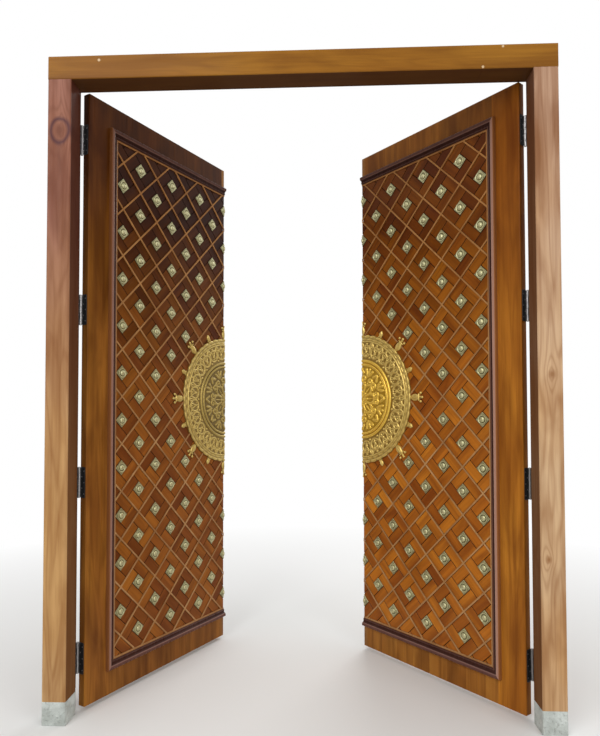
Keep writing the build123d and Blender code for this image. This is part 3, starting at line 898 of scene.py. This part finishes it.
def medallion_mesh(side):
    """The half disc, finely divided over its face, with a rim wall and a flat back."""
    facing = pi if side == "left" else 0.0
    angles = facing + np.linspace(-pi / 2, pi / 2, relief_steps + 1)
    radii = relief_radii(angles)
    x, y = radii * np.cos(angles), radii * np.sin(angles)
    z = medallion_height(x, y)
    top = np.stack([x, y, z], axis=-1).reshape(-1, 3)
    foot = np.stack([x[-1], y[-1], np.zeros_like(angles)], axis=-1)
    heart = np.array([[0, 0, z[0].max()], [0, 0, 0]])
    points = np.concatenate([top, foot, heart]).tolist()
    heart_top, heart_back = len(points) - 2, len(points) - 1
    grid = np.arange(len(top) + len(foot)).reshape(-1, len(angles))
    quads = np.stack([grid[:-1, :-1], grid[:-1, 1:], grid[1:, 1:], grid[1:, :-1]], axis=-1)
    first, last = grid[0].tolist(), grid[-1].tolist()
    faces = quads.reshape(-1, 4).tolist()
    faces += [(heart_top, *pair) for pair in zip(first, first[1:])]
    faces += [(heart_back, *pair) for pair in zip(last, last[1:])]
    faces += [[heart_top, *grid[:, column].tolist(), heart_back] for column in (0, relief_steps)]
    return new_mesh("relief", points, faces)


def crown_mesh():
    """Finial: a rounded body on a neck, a collar, a petal and three balls at its tip."""
    body = [
        (0, 0.0100, 0.0066), (0.008, 0.0095, 0.0070), (0.016, 0.0150, 0.0086), (0.024, 0.0200, 0.0096),
        (0.036, 0.0212, 0.0100), (0.048, 0.0196, 0.0098), (0.058, 0.0150, 0.0084), (0.068, 0.0105, 0.0072),
    ]
    ridge = [(0.012, 0.002, 0.0086), (0.030, 0.004, 0.0115), (0.048, 0.004, 0.0112), (0.060, 0.002, 0.0086)]
    collar = [(-0.022, 0.0028, 0.005), (-0.019, 0.005, 0.008), (0.019, 0.005, 0.008), (0.022, 0.0028, 0.005)]
    petal = [(0, 0.0060, 0.0060), (0.010, 0.0085, 0.0080), (0.018, 0.0060, 0.0078)]
    ball = [(0, 0), (0.0072, 0.0), (0.0082, 0.0034), (0.0066, 0.0074), (0.0036, 0.0094), (0, 0.0100)]
    pieces = [
        pod("body", body), pod("ridge", ridge, 6), moved(pod("collar", collar, 6), (0.066, 0, 0), pi / 2),
        moved(pod("petal", petal, 6), (0.068, 0, 0)),
    ]
    balls = ((0.080, -0.0240, 0), (0.0905, 0, 0), (0.080, 0.0240, 0))
    pieces += [moved(lathe("ball", ball, 12), place) for place in balls]
    return moved(joined("crown", pieces), (finial_root, 0, 0))


def knob_mesh():
    """Small bud on a neck, with a ridge along it and a curl at each side."""
    body = [
        (0, 0.0070, 0.0055), (0.010, 0.0060, 0.0058), (0.018, 0.0110, 0.0078), (0.028, 0.0150, 0.0088),
        (0.038, 0.0135, 0.0084), (0.046, 0.0080, 0.0066), (0.051, 0.0025, 0.0040),
    ]
    ridge = [(0.014, 0.002, 0.007), (0.026, 0.0045, 0.0098), (0.038, 0.004, 0.0096), (0.048, 0.0015, 0.006)]
    curl = [(0, 0), (0.0048, 0.0), (0.0055, 0.0030), (0.0042, 0.0062), (0, 0.0078)]
    pieces = [pod("bud", body), pod("ridge", ridge, 6)]
    pieces += [moved(lathe("curl", curl, 10), (0.014, aside, 0)) for aside in (-0.0105, 0.0105)]
    return moved(joined("knob", pieces), (finial_root, 0, 0))


def make_medallion(side, tree, material, disc_material):
    """A leaf's half of the carved disc, and its finials and buds."""
    body, node = f"{side}_leaf", f"{side}_medallion"
    planes = field_planes(side, proud_edge, field_side, field_end)
    relief = on_field(medallion_mesh(side), side, planes, 60)
    levels = (plate_top, plate_top + 0.005)
    mark_raised(relief, side, levels, (0, 1), ring_inner - 0.001, disc_ground - plate_top)
    place_piece(f"{side}_carved_medallion", relief, body, node, material)
    relief.materials.append(disc_material)
    back = leaf_matrix(side).inverted()
    for face in relief.polygons:
        face.material_index = int((back @ face.center).to_2d().length < ring_outer - 0.002)
    turning = {"count": finial_count, "radius": 0.0001, "material": material}
    crowns = grow(tree, crown_mesh(), first_angle=0.0, **turning)
    knobs = grow(tree, knob_mesh(), first_angle=pi / finial_count, **turning)
    finials = on_field(joined("finials", [crowns, knobs]), side, planes)
    mark_raised(finials, side, (0.001, 0.007), (0, 1))
    place_piece(f"{side}_medallion_finials", finials, body, node)


# Hinges

def screw_mesh(towards):
    """A raised countersunk head with a cross slot, facing away from the wood."""
    profile = [(0, -0.0006), (0.0034, -0.0006), (0.0034, 0), (0.0028, 0.0005), (0.0014, 0.0008), (0, 0.0009)]
    head = lathe("screw", profile, 12)
    head.transform(Matrix.Rotation(-towards * pi / 2, 4, "Y"))
    return head


def hinge_places():
    """Height of the lowest hinge's underside, and the step to the next one."""
    lowest = floor_gap + hinge_end_distance - hinge_height / 2
    return lowest, (leaf_height - 2 * hinge_end_distance) / (hinge_count - 1)


def flap_mesh(plate_x):
    """A plate with rounded corners that stands beside the knuckles."""
    plate = slab("plate", (plate_width, hinge_height, plate_thickness), corner=0.006, chamfer=0.0006)
    plate.transform(Matrix.Rotation(pi / 2, 4, "X"))
    plate.transform(Matrix.Rotation(pi / 2, 4, "Z"))
    return moved(plate, (plate_x, -plate_start - plate_width / 2, hinge_height / 2))


def knuckle_mesh(plate_x, first):
    """A barrel with the strap that joins it to its plate."""
    long, soft = knuckle_pitch - knuckle_gap, 0.0007
    barrel = [
        (0, 0), (barrel_radius - soft, 0), (barrel_radius, soft), (barrel_radius, long - soft),
        (barrel_radius - soft, long), (0, long),
    ]
    strap_size = (plate_thickness, plate_start + 0.002, long)
    strap = slab("strap", strap_size, (plate_x, -plate_start / 2 - 0.001, long / 2), chamfer=0.0004)
    knuckle = joined("knuckle", [lathe("barrel", barrel, 28), strap])
    return moved(knuckle, (0, 0, first * knuckle_pitch + knuckle_gap / 2))


def make_hinges(side, with_leaf, tree, black, steel):
    """Plates, knuckles and screws that stay with one body, at all hinges of a leaf."""
    towards = signs[side] if with_leaf else -signs[side]
    plate_x = towards * (axis_to_edge - plate_thickness / 2)
    first, count = (1, knuckle_count // 2) if with_leaf else (0, knuckle_count // 2 + 1)
    knuckle = knuckle_mesh(plate_x, first)
    knuckles = grow(tree, knuckle, count=count, step=(0, 0, 2 * knuckle_pitch), material=steel)
    face_x = towards * (axis_to_edge - plate_thickness)
    rows = []
    for screws, inset, height in screw_rows:
        screw = moved(screw_mesh(towards), (face_x, -plate_start - inset, height))
        rows.append(grow(tree, screw, count=screws, step=(0, 0, screw_step), material=steel))
    body = f"{side}_leaf" if with_leaf else "frame"
    node = f"{side}_leaf_hinge_plates" if with_leaf else f"jamb_hinge_plates_{side}"
    owner = f"{side}_leaf" if with_leaf else f"{side}_jamb"
    parts = [
        ("flaps", flap_mesh(plate_x), black, "hinge_black"), ("knuckles", knuckles, steel, "hinge_steel"),
        ("screws", joined("screws", rows), steel, "hinge_steel"),
    ]
    lowest, step = hinge_places()
    for label, mesh, material, slot in parts:
        moved(mesh, (0, 0, lowest))
        column = grow(tree, mesh, count=hinge_count, step=(0, 0, step), material=material)
        column.transform(hinge_matrix(side, with_leaf))
        place_piece(f"{owner}_hinge_{label}", crisp(column), body, node)


def make_pins(side, tree, steel):
    """Pins with low domed ends, one through each hinge."""
    lowest, step = hinge_places()
    length = hinge_height + 2 * pin_end
    profile = [
        (0, 0), (pin_radius * 0.7, 0.0003), (pin_radius, pin_end), (pin_radius, length - pin_end),
        (pin_radius * 0.7, length - 0.0003), (0, length),
    ]
    pin = moved(lathe("pin", profile, 20), (0, 0, lowest - pin_end))
    pins = grow(tree, pin, count=hinge_count, step=(0, 0, step), material=steel)
    pins.transform(hinge_matrix(side, False))
    place_piece(f"{side}_hinge_pins", crisp(pins), "frame", f"hinge_pins_{side}")


# Finishes of the pieces that stay as they are

def finish_node(node, material):
    for slot in frame["nodes"][node].material_slots:
        slot.material = material


def finish_frame():
    """Woods of the head and the jambs, with painted shade inside the rebates, and cement on the feet."""
    head_tones = ((0.160, 0.058, 0.008), (0.260, 0.104, 0.013), (0.320, 0.142, 0.018))
    left_tones = ((0.270, 0.115, 0.036), (0.520, 0.300, 0.120), (0.660, 0.440, 0.220))
    right_tones = ((0.250, 0.105, 0.036), (0.500, 0.288, 0.132), (0.640, 0.460, 0.285))
    # Painted shade colour for the jambs' reveals
    reveal_shade = (0.115, 0.038, 0.010)
    pale, purple = (0.62, 0.45, 0.26), (0.075, 0.028, 0.045)
    plugs = [
        ((3.131, 0, 0.954), 0.007, pale), ((3.145, 0, -0.948), 0.006, pale),
        ((3.050, 0, -0.855), 0.006, pale),
    ]
    left_knot = (-1.140, 0, 2.796)
    right_knots = [((1.125, 0, 0.781), 0.026, 16.0), ((1.150, 0, 1.620), 0.035, 14.0)]
    # Painted shade colour for the head's soffit
    head_reveal_shade = (0.060, 0.022, 0.009)
    head = wood("head_wood", head_tones, along="X", line_share=0.25, plugs=plugs, reveal_shade=head_reveal_shade)
    # Both jambs darken towards the top, partly weathering and partly painted shade
    left = wood(
        "left_jamb_wood", left_tones, knots=[(left_knot, 0.050, 22.0)], rings=[(left_knot, 0.044, purple)],
        weathering_and_shade=((0.50, 0.34, 0.50), 1.0, 2.4), reveal_shade=reveal_shade,
    )
    right_weathering_and_shade = ((0.72, 0.64, 0.70), 1.4, 2.9)
    right = wood("right_jamb_wood", right_tones, knots=right_knots, weathering_and_shade=right_weathering_and_shade, reveal_shade=reveal_shade)
    grey = cement()
    finishes = {
        "head_beam": head, "jamb_left": left, "jamb_right": right,
        "jamb_foot_left": grey, "jamb_foot_right": grey,
    }
    for node, material in finishes.items():
        finish_node(node, material)


# Colours of each leaf's woods: dark, middle, light
leaf_woods = {
    "left": {
        "stile": ((0.100, 0.028, 0.005), (0.280, 0.100, 0.018), (0.430, 0.180, 0.026)),
        "rail": ((0.090, 0.028, 0.006), (0.250, 0.088, 0.016), (0.350, 0.140, 0.024)),
        "board": ((0.110, 0.026, 0.006), (0.275, 0.080, 0.014), (0.390, 0.135, 0.018)),
    },
    "right": {
        "stile": ((0.170, 0.046, 0.005), (0.400, 0.135, 0.015), (0.540, 0.215, 0.023)),
        "rail": ((0.140, 0.044, 0.007), (0.340, 0.125, 0.020), (0.470, 0.205, 0.035)),
        "board": ((0.160, 0.034, 0.006), (0.430, 0.128, 0.014), (0.580, 0.205, 0.020)),
    },
}

# Tints that darken each leaf towards its top, partly weathering and partly painted shade, with the heights
# between which they come in
leaf_weathering_and_shade = {
    "left": {"frame": ((0.32, 0.24, 0.15), 1.6, 2.7), "board": ((0.15, 0.11, 0.08), 1.4, 2.6)},
    "right": {"frame": ((0.64, 0.56, 0.48), 1.6, 2.7), "board": ((0.34, 0.28, 0.22), 1.4, 2.6)},
}

# Colours across the mouldings: flank, crest painted lighter as a highlight, a brighter painted highlight line
# at the crest's inner edge, and step
side_highlight_bands = {
    "left": ((0.230, 0.085, 0.026), (0.330, 0.175, 0.130), (0.520, 0.330, 0.270), (0.110, 0.050, 0.036)),
    "right": ((0.330, 0.125, 0.036), (0.480, 0.260, 0.190), (0.680, 0.440, 0.350), (0.160, 0.074, 0.052)),
}
rail_highlight_bands = ((0.130, 0.048, 0.022), (0.125, 0.056, 0.045), (0.270, 0.150, 0.125), (0.095, 0.042, 0.034))


def moulding_bands(flank, crest, wear_and_highlight, step):
    """Colours from a moulding's outer line to its lip, with painted shade in its hollows."""
    # hollow is painted shade in the moulding's hollows
    hollow, lip = (0.036, 0.012, 0.010), (0.290, 0.135, 0.050)
    return [
        (0.00, flank), (0.06, flank), (0.14, crest), (0.33, crest), (0.37, wear_and_highlight), (0.41, wear_and_highlight),
        (0.44, hollow), (0.70, hollow), (0.75, step), (0.82, step), (0.86, hollow), (0.91, hollow),
        (0.94, lip), (1.00, lip),
    ]


def moulding_woods(side, turn):
    """Woods of the moulding along the stile and of those along the rails."""
    tones = ((0.050, 0.018, 0.012), (0.110, 0.045, 0.026), (0.180, 0.085, 0.055))
    # The mouldings darken towards the top, partly weathering and partly painted shade
    weathering_and_shade = ((0.60, 0.55, 0.50), 1.8, 3.0)
    woods = {}
    for run, colours in (("side", side_highlight_bands[side]), ("rail", rail_highlight_bands)):
        name, bands = f"{side}_{run}_moulding_wood", moulding_bands(*colours)
        woods[run] = wood(name, tones, turn, line_share=0.2, weathering_and_shade=weathering_and_shade, bands=bands, gloss=0.24)
    return woods


def finish_leaf(side):
    """Finish a leaf's plain pieces, and give the woods of its boards and its mouldings."""
    turn = -signs[side] * open_angles[side]
    woods, weathering_and_shades = leaf_woods[side], leaf_weathering_and_shade[side]
    stile = wood(f"{side}_stile_wood", woods["stile"], turn, lines=6.0, line_share=0.30, weathering_and_shade=weathering_and_shades["frame"])
    rail = wood(
        f"{side}_rail_wood", woods["rail"], turn, lines=6.0, line_share=0.25, stave=0.120,
        weathering_and_shade=weathering_and_shades["frame"],
    )
    boards = wood(
        f"{side}_board_wood", woods["board"], lines=5.0, line_share=0.25, by_board=True,
        weathering_and_shade=weathering_and_shades["board"], gloss=0.34,
    )
    lipping_tones = ((0.14, 0.05, 0.014), (0.30, 0.13, 0.032), (0.42, 0.21, 0.06))
    lipping = wood(f"{side}_lipping_wood", lipping_tones, turn)
    strip_tones = ((0.25, 0.115, 0.042), (0.41, 0.210, 0.080), (0.50, 0.280, 0.120))
    # The strips darken towards the top, partly weathering and partly painted shade
    strip_weathering_and_shade = ((0.90, 0.78, 0.60), 1.4, 2.8)
    strip = wood(f"{side}_strip_wood", strip_tones, turn, lines=5.0, line_share=0.15, weathering_and_shade=strip_weathering_and_shade)
    finishes = {
        "hinge_stile": stile, "core_panel": rail, "top_rail": rail, "bottom_rail": rail,
        "meeting_lipping": lipping, "lattice": strip,
    }
    for node, material in finishes.items():
        finish_node(f"{side}_{node}", material)
    return boards, moulding_woods(side, turn)


# Studio

def make_floor():
    """A pale floor that runs out into the white background, part of the studio."""
    material, tree, shader = new_material("studio_floor")
    place = object_place(tree)
    colour = blended(tree, noise(tree, place, 0.6), rgb(0.80, 0.80, 0.79), rgb(0.84, 0.84, 0.83))
    feed(tree, shader, {"Base Color": colour, "Roughness": 0.7})
    white_from, white_to = 1.6, 5.0
    white = put(tree, "ShaderNodeEmission", {"Color": rgb(1, 1, 1), "Strength": 1.0}).outputs[0]
    seen = put(tree, "ShaderNodeLightPath").outputs["Is Camera Ray"]
    far = rescale(tree, place_calc(tree, "LENGTH", place), white_from, white_to)
    shaders = {0: calc(tree, "MULTIPLY", far, seen), 1: shader.outputs[0], 2: white}
    mixed = put(tree, "ShaderNodeMixShader", shaders)
    tree.links.new(mixed.outputs[0], tree.nodes["Material Output"].inputs["Surface"])
    half, level = 30.0, -0.001
    corners = [(-half, -half, level), (half, -half, level), (half, half, level), (-half, half, level)]
    mesh = bpy.data.meshes.new("studio_floor")
    mesh.from_pydata(corners, [], [(0, 1, 2, 3)])
    mesh.materials.append(material)
    floor = add_object("studio_floor", mesh)


def make_world():
    """Even soft light; the background and what mirrors it are white."""
    world = bpy.data.worlds.new("studio")
    bpy.context.scene.world = world
    world.use_nodes = True
    tree = world.node_tree
    tree.nodes.clear()
    light = put(tree, "ShaderNodeBackground", {"Color": rgb(1.0, 0.99, 0.97), "Strength": 0.56})
    white = put(tree, "ShaderNodeBackground", {"Color": rgb(1, 1, 1), "Strength": 1.0})
    ray = put(tree, "ShaderNodeLightPath").outputs
    mirrored = calc(tree, "MAXIMUM", ray["Is Glossy Ray"], ray["Is Transmission Ray"])
    seen = calc(tree, "MAXIMUM", ray["Is Camera Ray"], mirrored)
    mixed = put(tree, "ShaderNodeMixShader", {0: seen, 1: light.outputs[0], 2: white.outputs[0]})
    put(tree, "ShaderNodeOutputWorld", {0: mixed.outputs[0]})


def add_lamp(name, place, target, size, power):
    lamp = bpy.data.lights.new(name, "AREA")
    lamp.size = size
    lamp.energy = power
    holder = add_object(name, lamp)
    holder.location = place
    holder.rotation_euler = (Vector(target) - Vector(place)).to_track_quat("-Z", "Y").to_euler()


def make_camera():
    """The photograph's point of view. Focal length and centre are in points of its height."""
    height = 736
    focal, centre_y = 589.73, 398.47
    place = (0.1139, -2.7230, 1.4331)
    yaw, pitch, roll = -0.0409, 0.0292, -0.0019
    camera = bpy.data.cameras.new("camera")
    camera.sensor_width = 36.0
    camera.lens = focal / height * camera.sensor_width
    camera.shift_y = (centre_y - height / 2) / height
    camera.clip_start, camera.clip_end = 0.05, 200.0
    forward = Vector((sin(yaw) * cos(pitch), cos(yaw) * cos(pitch), sin(pitch)))
    level = Vector((cos(yaw), -sin(yaw), 0))
    upright = level.cross(forward)
    right = cos(roll) * level + sin(roll) * upright
    up = cos(roll) * upright - sin(roll) * level
    matrix = Matrix((right, up, -forward)).transposed().to_4x4()
    matrix.translation = place
    holder = add_object("camera", camera)
    holder.matrix_world = matrix
    bpy.context.scene.camera = holder


def make_studio():
    bpy.context.scene.view_settings.view_transform = "Standard"
    make_world()
    make_floor()
    add_lamp("key", (-2.6, -4.2, 4.6), (0, 0.2, 1.4), 3.0, 150)
    add_lamp("fill", (3.4, -3.6, 2.8), (0, 0.2, 1.4), 3.0, 80)
    add_lamp("back", (1.5, 5.0, 4.5), (0, 0.5, 1.5), 3.0, 110)
    make_camera()


def make_pieces():
    diagonal, ring, row = diagonal_grid_tree(), ring_tree(), row_tree()
    brass = gilding("boss_metal", (0.50, 0.47, 0.26), (0.15, 0.14, 0.06), 0.60, 0.28)
    gilts = {
        "left": gilding("left_band_gilt", (0.56, 0.405, 0.115), (0.24, 0.155, 0.036), 0.60, 0.30),
        "right": gilding("right_band_gilt", (0.66, 0.470, 0.130), (0.32, 0.205, 0.044), 0.60, 0.28),
    }
    discs = {
        "left": gilding("left_disc_gilt", (0.40, 0.285, 0.075), (0.17, 0.110, 0.024), 0.60, 0.30),
        "right": gilding("right_disc_gilt", (0.80, 0.520, 0.078), (0.48, 0.285, 0.026), 0.60, 0.26),
    }
    black = plain_metal("hinge_black_enamel", (0.020, 0.020, 0.022), (0.060, 0.058, 0.055), 0.32, 0.2)
    steel = plain_metal("hinge_bright_steel", (0.40, 0.39, 0.39), (0.26, 0.25, 0.24), 0.30)
    finish_frame()
    finish_node("foot_dowels", steel)
    for side in signs:
        boards, mouldings = finish_leaf(side)
        make_boards(side, diagonal, boards)
        make_mouldings(side, mouldings)
        make_bosses(side, diagonal, brass)
        make_medallion(side, ring, gilts[side], discs[side])
        for with_leaf in (False, True):
            make_hinges(side, with_leaf, row, black, steel)
        make_pins(side, row, steel)


make_studio()
make_pieces()
